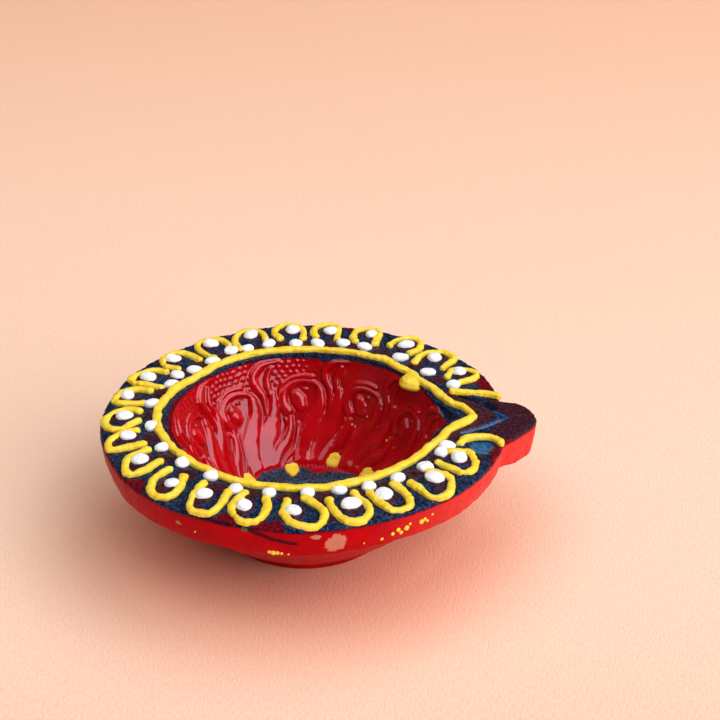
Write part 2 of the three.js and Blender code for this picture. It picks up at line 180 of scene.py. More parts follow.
# Marks on the outside of the rim. Places are (bearing, mm below the flange): a streak is a line of them, and
# a chip or a spot of olive is its middle and its half width and half height in mm.
RIM_CHIPS = [((280.5, 3.4), (1.9, 2.0)), ((275.3, 1.6), (1.1, 0.5)), ((238.0, 3.0), (0.8, 0.35))]
RIM_OLIVE = [((257.2, 0.9), (0.8, 0.5))]
RIM_STREAKS = [[(255.6, 0.3), (258.4, 0.8), (261, 1.5), (264.5, 2.3), (268, 2.8), (270.5, 3.0)],
               [(246, 0.2), (250, 0.5), (253, 0.5)]]
RIM_STREAK_WIDTH = 0.42
# The radius at which bearings on the rim are turned into mm
RIM_RADIUS = 39.5

# Paint that dripped from the mouth line into the bowl, and the flecks of yellow flicked over the lamp:
# (bearing, mm down the wall, width) in the bowl, and (bearing, mm below the flange, width) on the rim
DRIP = {"bearing": 34.5, "radius": 26.0, "size": (2.4, 3.0, 1.2), "below": 0.45}
BOWL_FLECKS = [
    (40, 9.6, 0.55), (39, 14.4, 0.6), (50, 17, 0.5), (41, 18.8, 0.45), (65, 14, 0.5), (69.5, 15.2, 1.1),
    (71, 16.6, 0.75), (61.4, 21.2, 0.6), (124.8, 2.2, 0.6), (145, 1.6, 0.45), (114, 13.4, 0.5),
    (114, 19.4, 0.55), (119.6, 19, 0.4), (163, 10.5, 0.5), (167, 13.0, 0.6), (160, 15.5, 0.45),
    (35.5, 10.2, 0.4), (57, 11.5, 0.35),
]
RIM_FLECKS = [
    (296, 4.0, 0.75), (297.6, 3.4, 0.9), (298.6, 4.3, 0.8), (300, 3.5, 1.1), (301, 2.8, 0.6),
    (293, 4.6, 0.6), (304.5, 3.2, 1.0), (305.6, 2.9, 0.8), (308, 2.5, 0.5), (306.6, 3.6, 0.6),
    (263.4, 5.4, 0.7), (264.4, 5.5, 1.0), (265.5, 5.5, 0.8), (266.6, 5.6, 0.6), (268.4, 5.7, 0.4),
    (243, 3.9, 0.4), (288, 4.6, 0.35),
]

# How far down the wall the middle of each floor dab lies, where it is not as usual, and which have run
DAB_USUAL_DOWN = 24.2
DAB_DOWN = {2: 22.8, 3: 22.3, 4: 25.0, 5: 23.7}
DAB_DRIPS = (4,)

# The camera: angles in degrees, distances in metres and its lens in mm
CAMERA = {"elevation": 27.79, "turn": 0.8, "distance": 0.300, "aside": 0.0110, "above": 0.0109, "lens": 75.5}

SEED = 7


# ---- numbers

def smooth(value, low, high):
    """0 below low, 1 above high and an S-curve between."""
    t = np.clip((value - low) / (high - low), 0, 1)
    return t * t * (3 - 2 * t)


def waves(points, size, seed, count=26):
    """A smooth random field over points, mostly between -1 and 1, with bumps about size across."""
    rng = np.random.default_rng(SEED + seed)
    directions = rng.normal(size=(count, points.shape[-1]))
    directions /= np.linalg.norm(directions, axis=1, keepdims=True)
    lengths = size * rng.uniform(1.5, 3.2, count)
    phases = rng.uniform(0, 2 * math.pi, count)
    field = np.zeros(points.shape[:-1])
    for direction, length, phase in zip(directions, lengths, phases):
        field += np.cos(points @ direction * (2 * math.pi / length) + phase)
    return field / math.sqrt(2 * count)


def by_bearing(table, bearings):
    """Reads a (bearing, value) table at an array of bearings."""
    return np.interp(bearings % 360, [row[0] for row in table], [row[1] for row in table])


def polar(bearing, radius):
    angle = math.radians(bearing)
    return np.array([radius * math.cos(angle), radius * math.sin(angle)])


def smooth_line(points, per_span=8):
    """Points along a Catmull-Rom curve through the given ones."""
    p = np.array(points, float)
    p = np.vstack([2 * p[0] - p[1], p, 2 * p[-1] - p[-2]])
    out = []
    for a, b, c, d in zip(p[:-3], p[1:-2], p[2:-1], p[3:]):
        for t in np.arange(per_span) / per_span:
            out.append(0.5 * (2 * b + (c - a) * t + (2 * a - 5 * b + 4 * c - d) * t**2
                              + (3 * b - a - 3 * c + d) * t**3))
    out.append(p[-2])
    return np.array(out)


def line_distance(points, line):
    """Distance from each point to a line, and how far along the line its nearest spot is, 0 to 1."""
    steps = np.linalg.norm(np.diff(line, axis=0), axis=1)
    starts = np.concatenate([[0], np.cumsum(steps)])
    best = np.full(points.shape[:-1], 1e9)
    along = np.zeros(points.shape[:-1])
    for a, b, length, start in zip(line[:-1], line[1:], steps, starts):
        if length == 0:
            continue
        t = np.clip(((points - a) @ (b - a)) / length**2, 0, 1)
        distance = np.linalg.norm(points - (a + t[..., None] * (b - a)), axis=-1)
        nearer = distance < best
        best = np.where(nearer, distance, best)
        along = np.where(nearer, (start + t * length) / starts[-1], along)
    return best, along


# ---- the section of the clay body

def reach_of(piece, heights, bearings, outward):
    """How far a piece reaches at each bearing, seen from outside inwards or from the axis outwards."""
    reach = []
    for height, bearing in zip(heights, bearings):
        way = Vector((*polar(bearing, 1.0), 0))
        start = Vector((0, 0, height * MM)) if outward else way * 0.1 + Vector((0, 0, height * MM))
        hit, place, _, _ = piece.ray_cast(start, way if outward else -way)
        reach.append(math.hypot(place.x, place.y) / MM if hit else np.nan)
    return np.array(reach)


def wall_table():
    """The bowl wall as radius and height against distance down from the lip."""
    turn = np.linspace(0, math.pi / 2, 1500)
    radius = FLOOR_RADIUS + (BOWL_RADIUS - FLOOR_RADIUS) * np.maximum(np.cos(turn), 0) ** (2 / WALL_FULLNESS)
    depth = LIP_DEPTH + (BOWL_DEPTH - LIP_DEPTH) * np.sin(turn) ** (2 / WALL_FULLNESS)
    steps = np.hypot(np.diff(radius), np.diff(depth))
    down = np.concatenate([[0], np.cumsum(steps)])
    return down, radius, FLANGE_TOP - depth


WALL_DOWN, WALL_R, WALL_Z = wall_table()
WALL_LENGTH = WALL_DOWN[-1]


def crown(radius):
    """Height of the flange's gently rounded top above its flat reference, at a radius."""
    return 0.08 - 0.14 * ((radius - 33.0) / 7.0) ** 2


def mouth_swell(bearings, height):
    """How far the wall stands out under the pinched mouth."""
    aside = ((bearings - MOUTH_SWELL["bearing"] + 180) % 360 - 180) / MOUTH_SWELL["spread"]
    share = 1 - smooth(FLANGE_TOP - height, 2.0, MOUTH_SWELL["depth"])
    return MOUTH_SWELL["out"] * np.exp(-aside**2) * share


def clay_outlines(bearings):
    """The radius of the flange's edge and of the lip, and how much each bearing is lobe or pinched mouth."""
    level = np.full(COLUMNS, FLANGE_TOP)
    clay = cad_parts["clay_body"]
    outer = reach_of(clay, level - 1.2, bearings, outward=False)
    lip = np.maximum(reach_of(clay, level - 0.35, bearings, outward=True), 26.3)
    kernel = np.array([1, 2, 3, 2, 1]) / 9
    outer = np.convolve(np.concatenate([outer[-1:], outer, outer[:1]]), [0.25, 0.5, 0.25], mode="valid")
    lip = np.convolve(np.concatenate([lip[-2:], lip, lip[:2]]), kernel, mode="valid")
    lobe = smooth(outer, 40.6, 43.0)
    around = np.stack([np.cos(np.radians(bearings)), np.sin(np.radians(bearings))], -1) * 40
    outer = outer + 0.15 + 0.28 * waves(around, 14, 1) * (1 - 0.6 * lobe)
    lip = lip + 0.18 * waves(around, 10, 2)
    return outer, lip, lobe, smooth(lip, 26.9, 29.0)


def body_grid():
    """The smooth clay surface as a grid of rows (along the section) by columns (round the lamp).
    Returns the bearings of the columns, the radius and height of each grid point, the row where each part
    begins, and the flange's outer radius at each bearing."""
    bearings = np.arange(COLUMNS) * 360 / COLUMNS
    outer, lip, lobe, pinch = clay_outlines(bearings)
    rows_r, rows_z, starts = [], [], {}

    def add(name, radius, height):
        starts.setdefault(name, len(rows_r))
        rows_r.append(np.broadcast_to(radius, COLUMNS))
        rows_z.append(np.broadcast_to(height, COLUMNS))

    floor_z = FLANGE_TOP - BOWL_DEPTH
    for v in np.linspace(0.03, 1, FLOOR_ROWS, endpoint=False):
        add("floor", FLOOR_RADIUS * v, floor_z)

    wall_top = 1.5 * pinch
    for v in np.linspace(0, 1, WALL_ROWS):
        share = 1 - v ** 0.78
        down = wall_top + (WALL_LENGTH - wall_top) * share
        height = np.interp(down, WALL_DOWN, WALL_Z)
        add("wall", np.interp(down, WALL_DOWN, WALL_R) + mouth_swell(bearings, height), height)

    wall_r, wall_z = rows_r[-1], rows_z[-1]
    ledge_r = (wall_r + lip) / 2 * (1 - pinch) + (lip - 0.5) * pinch
    rise = CHANNEL_SLOPE * np.maximum(lip - BOWL_RADIUS, 0)
    ledge_z = FLANGE_TOP - (0.42 * (1 - pinch) + (CHANNEL_DEPTH - 0.25 - rise) * pinch)
    lip_z = FLANGE_TOP + crown(lip)
    for v in np.linspace(0, 1, LEDGE_ROWS + 1)[1:]:
        add("ledge", wall_r + (ledge_r - wall_r) * v, wall_z + (ledge_z - wall_z) * v)
    for v in np.linspace(0, 1, LIP_ROWS + 1)[1:]:
        bend = np.sin(v * math.pi / 2)
        reach = (1 - np.cos(v * math.pi / 2)) ** 0.8
        add("lip", ledge_r + (lip - ledge_r) * reach, ledge_z + (lip_z - ledge_z) * bend)

    top_end = outer - 0.35
    for v in np.linspace(0, 1, TOP_ROWS + 1)[1:]:
        radius = lip + (top_end - lip) * v
        plan = np.minimum(radius, CROWN_END)
        add("top", radius, FLANGE_TOP + crown(plan))
    edge_z = rows_z[-1]
    for v in np.linspace(0, 1, EDGE_ROWS + 1)[1:]:
        turn = v * math.pi / 2
        add("edge", top_end + 0.55 * np.sin(turn), edge_z - 0.55 * (1 - np.cos(turn)))

    side_r, side_z = rows_r[-1], rows_z[-1]
    bottom_z = FLANGE_TOP - FLANGE_THICKNESS - (LOBE_THICKNESS - FLANGE_THICKNESS) * lobe
    for v in np.linspace(0, 1, SIDE_ROWS + 1)[1:]:
        bulge = 0.15 * np.sin(v * math.pi)
        add("side", side_r - FLANGE_DRAFT * v + bulge, side_z + (bottom_z + 0.5 - side_z) * v)
    corner_r = rows_r[-1]
    for turn in (30, 60, 90):
        back = 0.5 * (1 - math.cos(math.radians(turn)))
        add("corner", corner_r - back, bottom_z + 0.5 * (1 - math.sin(math.radians(turn))))
    shelf_r = rows_r[-1]
    root_r = FLANGE_ROOT_RADIUS - 0.3
    root_z = FLANGE_TOP - FLANGE_THICKNESS - 0.05
    for v in np.linspace(0, 1, SHELF_ROWS + 1)[1:]:
        add("under", shelf_r + (root_r - shelf_r) * v, bottom_z + (root_z - bottom_z) * v**2)

    section = [(root_r, root_z), *reversed(UNDERSIDE), (FOOT_RADIUS + FOOT_FLARE, FOOT_HEIGHT)]
    curve = smooth_line(section, per_span=6)[1:]
    for radius, height in curve:
        add("belly", radius, height)
    for radius, height in [(FOOT_RADIUS + 0.25, 1.0), (FOOT_RADIUS + 0.1, 0.35), (FOOT_RADIUS - 0.15, 0.08),
                           (FOOT_RADIUS - 0.6, 0.0), (12.0, 0.0), (6.0, 0.0), (0.5, 0.0)]:
        add("foot", radius, height)
    return bearings, np.array(rows_r), np.array(rows_z), starts, outer


# ---- relief and carving

def scroll_cell():
    """Height of one scroll over a cell of the wall, 0 to 1: (degrees, distances down, heights)."""
    half = SCROLL_CELL / 2
    degrees = np.linspace(-half, half, 130)
    downs = np.linspace(0, WALL_LENGTH, 170)
    grid_deg, grid_down = np.meshgrid(degrees, downs, indexing="ij")

    def flat(deg, down):
        return np.stack([np.radians(deg) * np.interp(down, WALL_DOWN, WALL_R), down], -1)

    points = flat(grid_deg, grid_down)
    height = np.zeros(points.shape[:-1])
    for places, widths in SCROLL_STROKES:
        line = smooth_line(places)
        for shift in (-2 * half, 0, 2 * half):
            if line[:, 0].max() + shift < -half - 10 or line[:, 0].min() + shift > half + 10:
                continue
            distance, along = line_distance(points, flat(line[:, 0] + shift, line[:, 1]))
            width = np.interp(along, [0, 0.5, 1], widths)
            dome = np.sqrt(np.clip(1 - (distance / width) ** 2, 0, 1))
            height = np.maximum(height, dome * np.minimum(width, 1) ** 0.5)
    return degrees, downs, height


def studs(offset, around, down, height):
    """The small studs between the scrolls, 0 to 1, where offset is in degrees from a scroll's eye."""
    radius = np.interp(down, WALL_DOWN, WALL_R)
    down = down + 0.3 * waves(around, 1.3, 13)
    row = np.round(down / STUD_ROW)
    across = (np.radians(offset) * radius + 0.3 * waves(around, 1.1, 14)) / STUD_SPACING + 0.5 * (row % 2)
    away = np.hypot((across - np.round(across)) * STUD_SPACING, down - row * STUD_ROW)
    inside = (offset > STUD_AREA["from"]) & (offset < STUD_AREA["to"])
    inside &= (down > STUD_AREA["top"]) & (down < STUD_AREA["bottom"]) & (height < 0.12)
    return inside * np.sqrt(np.clip(1 - (away / STUD_RADIUS) ** 2, 0, 1))


def scroll_relief(bearings, down):
    """The scroll relief in mm and the scrolls' own height, 0 to 1. Down is the distance below the lip."""
    degrees, downs, cell = scroll_cell()
    angle = np.radians(bearings)
    around = np.stack(np.broadcast_arrays(np.cos(angle), np.sin(angle), down), -1)
    around[..., :2] *= SCROLL_NOISE_RADIUS
    bearing = bearings + 0.55 * waves(around, 9, 11)
    depth = down + 0.3 * waves(around, 8, 12)
    eyes = np.array([EYES[-1] - 360, *EYES, EYES[0] + 360])
    turns = np.interp((bearing - eyes[0]) % 360 + eyes[0], eyes, np.arange(len(eyes)))
    offset = (turns - np.round(turns)) * SCROLL_CELL
    x = (offset - degrees[0]) / (degrees[1] - degrees[0])
    y = np.clip(depth / (downs[1] - downs[0]), 0, len(downs) - 1.001)
    i = np.clip(x.astype(int), 0, len(degrees) - 2)
    j = y.astype(int)
    u, v = x - i, y - j
    low = cell[i, j] * (1 - v) + cell[i, j + 1] * v
    high = cell[i + 1, j] * (1 - v) + cell[i + 1, j + 1] * v
    height = low * (1 - u) + high * u
    stud_height = STUD_HEIGHT * by_bearing(STUD_SHOW, bearings)
    return RELIEF_HEIGHT * height + stud_height * studs(offset, around, down, height), height


def carving(plan):
    """The spout's carving as a depth in mm, and the share of each groove and hollow by name, 0 to 1."""
    depth = np.zeros(plan.shape[:-1])
    cuts = {}
    for name, groove in SPOUT_GROOVES.items():
        distance, _ = line_distance(plan, smooth_line(groove["line"], per_span=4))
        cuts[name] = smooth(-distance, -groove["width"], -0.25 * groove["width"])
        depth = np.maximum(depth, groove["depth"] * cuts[name])
    for name, hollow in SPOUT_HOLLOWS.items():
        turn = math.radians(hollow["turn"])
        offset = plan - np.array(hollow["at"])
        x = offset[..., 0] * math.cos(turn) + offset[..., 1] * math.sin(turn)
        y = offset[..., 1] * math.cos(turn) - offset[..., 0] * math.sin(turn)
        inside = 1 - (x / hollow["size"][0]) ** 2 - (y / hollow["size"][1]) ** 2
        cuts[name] = np.clip(inside, 0, 1) ** 0.5
        depth = np.maximum(depth, hollow["depth"] * cuts[name])
    return depth, cuts


def dot_centre(node):
    low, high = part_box(node)
    centre = (low + high) / 2 / MM
    return np.array([centre.x, centre.y]), (high.x - low.x) / MM


def patches(plan):
    """The worn embossing on the flange: raised leaves under the petals' dots, ovals between the ring's."""
    height = np.zeros(plan.shape[:-1])

    def oval(centre, radial, across, strength):
        away = np.linalg.norm(centre)
        out = centre / away
        offset = plan - centre
        r = (offset @ out) / radial
        t = (offset @ np.array([-out[1], out[0]])) / across
        np.maximum(height, strength * smooth(1 - r**2 - t**2, 0.0, 0.55), out=height)

    for number in range(1, PETALS + 1):
        centre, _ = dot_centre(f"petal_dot_{number:02d}")
        oval(centre * 1.01, 3.3, 2.5, 1.0)
    bearings = [dot[0] for dot in RING_DOTS]
    for number, bearing in enumerate(bearings):
        gap = (bearings[(number + 1) % len(bearings)] - bearing) % 360
        if gap < 40:
            oval(polar(bearing + gap / 2, 30.6), 1.9, min(0.22 * gap, 2.6), 0.9)
        oval(polar(bearing + gap * 0.5, 37.6), 1.5, 1.5, 0.55)
    return height


# ---- meshes

def new_object(name, vertices_mm, faces, material, replaced=()):
    """A finished piece from vertices in mm: linked, shaded smooth, riding on the lamp."""
    mesh = bpy.data.meshes.new(name)
    mesh.from_pydata((np.asarray(vertices_mm) * MM).tolist(), [], faces)
    mesh.update()
    return finish_piece(name, mesh, material, replaced)


def finish_piece(name, mesh, material, replaced=()):
    mesh.name = name
    mesh.shade_smooth()
    mesh.materials.clear()
    mesh.materials.append(material)
    piece = bpy.data.objects.new(name, mesh)
    bpy.context.collection.objects.link(piece)
    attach(piece, "root")
    if replaced:
        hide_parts(*replaced)
    return piece


def give(mesh, name, grid, at_centres):
    """Writes a value for every grid point, and for the centre point at each end, as an attribute."""
    attribute = mesh.attributes.new(name, "FLOAT", "POINT")
    values = np.concatenate([np.asarray(grid, float).ravel(), at_centres])
    attribute.data.foreach_set("value", values.astype(np.float32))


def grid_faces(rows, columns, first_centre, last_centre):
    """Quads between the rows of a closed grid, and a fan of triangles to a centre point at each end."""
    j = np.arange(columns)
    k = (j + 1) % columns
    faces = []
    for i in range(rows - 1):
        a, b = i * columns, (i + 1) * columns
        faces.extend(np.stack([a + j, b + j, b + k, a + k], -1).tolist())
    last = (rows - 1) * columns
    faces.extend(np.stack([np.full(columns, first_centre), j, k], -1).tolist())
    faces.extend(np.stack([last + j, np.full(columns, last_centre), last + k], -1).tolist())
    return faces


def grid_normals(points):
    along = np.gradient(points, axis=0)
    round_it = np.roll(points, -1, axis=1) - np.roll(points, 1, axis=1)
    normals = np.cross(along, round_it)
    return normals / np.maximum(np.linalg.norm(normals, axis=-1, keepdims=True), 1e-9)


def section_parts(starts, shape):
    """Which grid points lie on each part of the body, as masks by name."""
    row = np.arange(shape[0])[:, None]
    parts = {"floor": ("floor", "wall"), "wall": ("wall", "ledge"), "bowl": ("floor", "lip"),
             "ledge": ("ledge", "top"), "top": ("lip", "side"), "side": ("side", "belly"),
             "rim": ("edge", "belly")}
    return {name: np.broadcast_to((row >= starts[first]) & (row < starts[end]), shape)
            for name, (first, end) in parts.items()}


def unevenness(points, on):
    """How uneven the hand-pressed clay is, and the pitted paint on the flange, in mm."""
    rough = np.where(on["top"], 1.0, np.where(on["bowl"], 0.25, 0.8))
    swell = 0.10 * waves(points, 6, 31) + 0.06 * waves(points, 1.9, 32) + 0.05 * waves(points, 0.7, 33)
    pitted = waves(points, 0.45, 34) + 0.6 * waves(points, 0.9, 35)
    return rough * swell + np.where(on["top"], 0.06 * np.clip(pitted, -1.5, 1.0), 0)


def surface_relief(points, radius, bearings, down, on):
    """How far the surface stands out from the smooth clay, in mm, and the shares that the paint follows."""
    plan = points[..., :2]
    scrolls, ridge = scroll_relief(bearings, down)
    fade = smooth(down, 0.25, 1.2) * smooth(-down, -WALL_LENGTH - 0.2, -WALL_LENGTH + 1.6)
    lift = np.where(on["wall"], scrolls * fade, 0)

    # Fine ribs round the floor, and the sunken middle
    ribs = 0.5 * np.cos(np.radians(bearings) * 118 + 2.4 * waves(plan, 5, 21))
    rib_area = smooth(radius, 9.9, 10.7) * smooth(-radius, -16.0, -14.6)
    floor_area = on["floor"] | (on["wall"] & (down > WALL_LENGTH - 1.5))
    lift += np.where(floor_area, 0.3 * ribs * rib_area - 0.5 * smooth(-radius, -10.2, -9.6), 0)

    depth, cuts = carving(plan)
    on_lobe = smooth(plan[..., 0], 31.5, 34.0) * smooth(-np.abs(plan[..., 1]), -10.5, -8.5)
    raised = patches(plan) * (1 - on_lobe)
    lift += np.where(on["top"], 0.34 * raised - depth, 0)
    lift += unevenness(points, on)
    lift[-FLAT_FOOT_ROWS:] = 0
    ridge = np.where(on["wall"], ridge * fade, 0)
    return lift, {"ridge": ridge, "raised": raised, "cuts": cuts, "on_lobe": on_lobe}


def navy_reach(radius, bearings, below, down, outer, on):
    """Signed distance in mm into the navy paint, all over the body."""
    in_bowl = np.where(on["ledge"], 1.0, by_bearing(NAVY_BAND, bearings) - down)
    past = np.where(on["floor"], WALL_LENGTH + FLOOR_RADIUS - radius, down)
    on_floor = past - by_bearing(FLOOR_EDGE, bearings)
    margin = by_bearing(RED_MARGIN, bearings)
    on_top = np.minimum(outer - radius - margin, radius - by_bearing(RED_LIP, bearings))
    on_rim = np.where(margin < 0, -margin - below, -0.35 - below)
    navy = np.where(on["bowl"], np.maximum(in_bowl, on_floor), np.where(on["top"], on_top, on_rim))
    return np.clip(navy, -3, 3)


def flange_paint(plan, bearings, relief, on):
    """Shares of brown, blue and dark paint on the flange's top."""
    x, y = plan[..., 0], plan[..., 1]
    cuts = relief["cuts"]
    band_distance = np.minimum(*[line_distance(plan, smooth_line(band))[0] for band in SPOUT_BANDS])
    band = smooth(-band_distance, -2.2, -1.2) * smooth(x, 27.5, 29.5)
    leaf = smooth(x + 0.45 * np.abs(y), 38.5, 39.8) * relief["on_lobe"]
    blue = np.maximum.reduce([cuts["back_v"] * smooth(x, 35, 38), cuts["front_v"], cuts["front_hollow"]])
    dark = np.maximum.reduce([cuts["back_hollow"], cuts["crease"], cuts["back_v"] * smooth(-x, -38, -36)])
    brown = np.where(on["top"], np.maximum.reduce([relief["raised"], band, leaf]), 0)
    brown = np.where(on["ledge"] & (bearings > 140) & (bearings < 215), 0.6, brown)
    return {"maroon": brown * (1 - blue) * (1 - dark), "blue": np.where(on["top"], blue, 0),
            "dark": np.where(on["top"], dark, 0)}


def rim_marks(bearings, below, on):
    """How far inside the rim's marks each point is, by name: 1 in the middle, 0 on the edge, less outside."""
    unroll = np.array([math.radians(RIM_RADIUS), 1])
    places = np.stack([bearings, np.clip(below, 0, 9)], -1) * unroll
    streaks = [line_distance(places, np.array(line) * unroll)[0] for line in RIM_STREAKS]
    marks = {"streak": 1 - np.min(streaks, axis=0) / RIM_STREAK_WIDTH}
    for name, spots in (("chip", RIM_CHIPS), ("olive", RIM_OLIVE)):
        away = [np.linalg.norm((places - middle * unroll) / size, axis=-1) for middle, size in spots]
        marks[name] = 1 - np.min(away, axis=0)
    return {name: np.where(on["rim"], share, -1) for name, share in marks.items()}


def clay_body(material):
    """The fired clay in one skin, with the paints' places written on it as attributes."""
    bearings, radius, height, starts, outer = body_grid()
    angle = np.radians(bearings)
    points = np.stack([radius * np.cos(angle), radius * np.sin(angle), height], -1)
    on = section_parts(starts, radius.shape)
    bearings = np.broadcast_to(bearings, radius.shape)
    down = np.interp(-height, -WALL_Z, WALL_DOWN)
    below = FLANGE_TOP - height
    lift, relief = surface_relief(points, radius, bearings, down, on)
    skin = points + grid_normals(points) * lift[..., None]

    rows = len(radius)
    centres = [[0, 0, FLANGE_TOP - BOWL_DEPTH - 0.5], [0, 0, 0]]
    vertices = np.vstack([skin.reshape(-1, 3), *centres])
    faces = grid_faces(rows, COLUMNS, rows * COLUMNS, rows * COLUMNS + 1)
    body = new_object("painted_clay", vertices, faces, material, ["clay_body"])

    # Each paint's place, and its value at the two centre points, inside the bowl and under the foot
    # Painted sheen: the side of the rim facing bearing -12 degrees, towards the light, is marked for a coral
    # colour.
    painted_sheen = smooth(np.cos(np.radians(bearings + 12)), 0.5, 0.97)
    shares = {"ridge": relief["ridge"], "rim": on["side"], "top": on["top"],
              "painted_sheen": np.where(on["side"], painted_sheen, 0),
              **flange_paint(points[..., :2], bearings, relief, on)}
    for name, share in shares.items():
        give(body.data, name, share, [0, 0])
    give(body.data, "bowl", on["bowl"], [1, 0])
    give(body.data, "floor", on["floor"] | (on["wall"] & (down > WALL_LENGTH - 1.0)), [1, 0])
    give(body.data, "navy_mm", navy_reach(radius, bearings, below, down, outer, on), [3, -3])
    for name, share in rim_marks(bearings, below, on).items():
        give(body.data, name, share, [-1, -1])


def applied_mesh(piece):
    """The piece's mesh with its modifiers applied."""
    bpy.context.view_layer.update()
    evaluated = piece.evaluated_get(bpy.context.evaluated_depsgraph_get())
    return bpy.data.meshes.new_from_object(evaluated)


def read_vectors(mesh, kind):
    values = np.empty(len(mesh.vertices) * 3, np.float32)
    mesh.vertices.foreach_get(kind, values)
    return values.reshape(-1, 3).astype(float)


def write_points(mesh, points):
    mesh.vertices.foreach_set("co", (points * MM).astype(np.float32).ravel())
    mesh.update()


def remeshed(mesh, voxel, smoothing):
    """A mesh rebuilt as one even skin, with its creases smoothed."""
    draft = bpy.data.objects.new("draft", mesh)
    bpy.context.collection.objects.link(draft)
    skin = draft.modifiers.new("skin", "REMESH")
    skin.mode = "VOXEL"
    skin.voxel_size = voxel * MM
    soften = draft.modifiers.new("soften", "SMOOTH")
    soften.factor = 0.5
    soften.iterations = smoothing
    result = applied_mesh(draft)
    bpy.data.objects.remove(draft)
    return result


def hand_piped(mesh, seed, swell=0.02, sink=0.35):
    """Turns a smooth bead into one squeezed out by hand: uneven in width, and sunk into the flange."""
    points = read_vectors(mesh, "co") / MM
    normals = read_vectors(mesh, "normal")
    lift = swell + 0.16 * waves(points, 1.5, seed) + 0.09 * waves(points, 0.6, seed + 1)
    above = smooth(points[:, 2] - FLANGE_TOP, 0.0, 0.4)
    normals[:, 2] *= 0.55
    wander = [0.2 * waves(points[:, :2], 2.4, 60), 0.2 * waves(points[:, :2], 2.4, 61), 0 * above]
    points = points + normals * (lift * above)[:, None] + np.stack(wander, -1)
    radius = np.hypot(points[:, 0], points[:, 1])
    points[:, 2] += np.where(above > 0, crown(np.clip(radius, 26.6, CROWN_END)), 0) - sink * (1 - above)
    write_points(mesh, points)


def with_drip(mesh):
    """The mouth line's mesh with the paint that ran over its edge added to it."""
    shape = bmesh.new()
    shape.from_mesh(mesh)
    size = DRIP["size"]
    x, y = polar(DRIP["bearing"], DRIP["radius"])
    place = Matrix.Translation(Vector((x, y, FLANGE_TOP - DRIP["below"])) * MM)
    turn = Matrix.Rotation(math.radians(DRIP["bearing"]), 4, "Z")
    squash = Matrix.Diagonal((size[0] * MM, size[1] * MM, size[2] * MM, 1))
    bmesh.ops.create_uvsphere(shape, u_segments=32, v_segments=16, radius=1, matrix=place @ turn @ squash)
    shape.to_mesh(mesh)
    shape.free()
    return mesh


def bead(node, material, seed, extra=None):
    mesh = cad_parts[node].data.copy()
    mesh = remeshed(extra(mesh) if extra else mesh, 0.17, 7)
    hand_piped(mesh, seed)
    return finish_piece(f"{node}_bead", mesh, material, [node])


def drop_shape(width, height, seed, rings=12, around=36, squareness=2.0, lumps=0.1):
    """A drop of paint on a flat place: points in mm, its underside a little below zero, and its faces."""
    turn = np.linspace(0, 1, rings + 1)[:-1] * math.pi / 2
    angle = np.arange(around) / around * 2 * math.pi
    square = (np.abs(np.cos(angle)) ** squareness + np.abs(np.sin(angle)) ** squareness) ** (-1 / squareness)
    outline = square * (1 + 0.05 * waves(np.stack([np.cos(angle), np.sin(angle)], -1), 0.9, seed))
    levels = [(0.96 * width / 2, -0.45), (0.96 * width / 2, -0.2)]
    levels += [(width / 2 * math.cos(t) ** 0.7, height * math.sin(t) ** 0.9) for t in turn]
    grid = np.array([np.stack([np.cos(angle) * outline * reach, np.sin(angle) * outline * reach,
                               np.full(around, level)], -1) for reach, level in levels])
    unevenness = waves(grid, 0.36 * width, seed + 1) + 0.5 * waves(grid, 0.16 * width, seed + 2)
    grid[..., 2] += np.where(grid[..., 2] > 0.05, lumps * height * unevenness, 0)
    rows = len(grid)
    vertices = np.vstack([grid.reshape(-1, 3), [0, 0, -0.45], [0, 0, height * 1.01]])
    faces = grid_faces(rows, around, rows * around, rows * around + 1)
    return vertices, faces


def white_dot(name, centre, width, height, material, seed, replaced=()):
    rng = np.random.default_rng(SEED + seed)
    vertices, faces = drop_shape(width, height, seed)
    stretch = rng.uniform(-0.13, 0.13)
    turn = rng.uniform(0, math.pi)
    x, y, z = vertices.T
    along, across = x * (1 + stretch), y * (1 - stretch)
    lean = 0.16 * np.clip(z, 0, None)
    radius = np.linalg.norm(centre)
    turned_x = along * math.cos(turn) - across * math.sin(turn)
    turned_y = along * math.sin(turn) + across * math.cos(turn)
    vertices = np.stack([centre[0] + turned_x + lean * rng.uniform(-1, 1),
                         centre[1] + turned_y + lean * rng.uniform(-1, 1),
                         z + FLANGE_TOP + crown(min(radius, CROWN_END)) + 0.2], -1)
    return new_object(name, vertices, faces, material, replaced)


def on_section(bearing, down):
    """Points on the bowl's wall or floor and their normals, where down runs on across the floor."""
    angle = np.radians(bearing)
    past = np.clip(down - WALL_LENGTH, 0, None)
    radius = np.interp(down, WALL_DOWN, WALL_R) - past
    height = np.interp(down, WALL_DOWN, WALL_Z)
    slope_r, slope_z = [np.interp(down + 0.2, WALL_DOWN, table) - np.interp(down - 0.2, WALL_DOWN, table)
                        for table in (WALL_R, WALL_Z)]
    slope_r = np.where(past > 0.2, -1.0, slope_r)
    length = np.hypot(slope_r, slope_z) + 1e-9
    out_r, out_z = slope_z / length, -slope_r / length
    spot = np.stack([radius * np.cos(angle), radius * np.sin(angle), height], -1)
    normal = np.stack([out_r * np.cos(angle), out_r * np.sin(angle), out_z], -1)
    return spot, normal


def draped(vertices, bearing, down):
    """Lays a flat drop on the inside of the bowl: its x goes round the bowl and its y goes up the wall."""
    reach = down - vertices[:, 1]
    radius = np.interp(reach, WALL_DOWN, WALL_R)
    turned = bearing + np.degrees(vertices[:, 0] / radius)
    spot, normal = on_section(turned, reach)
    return spot + normal * vertices[:, 2:3]


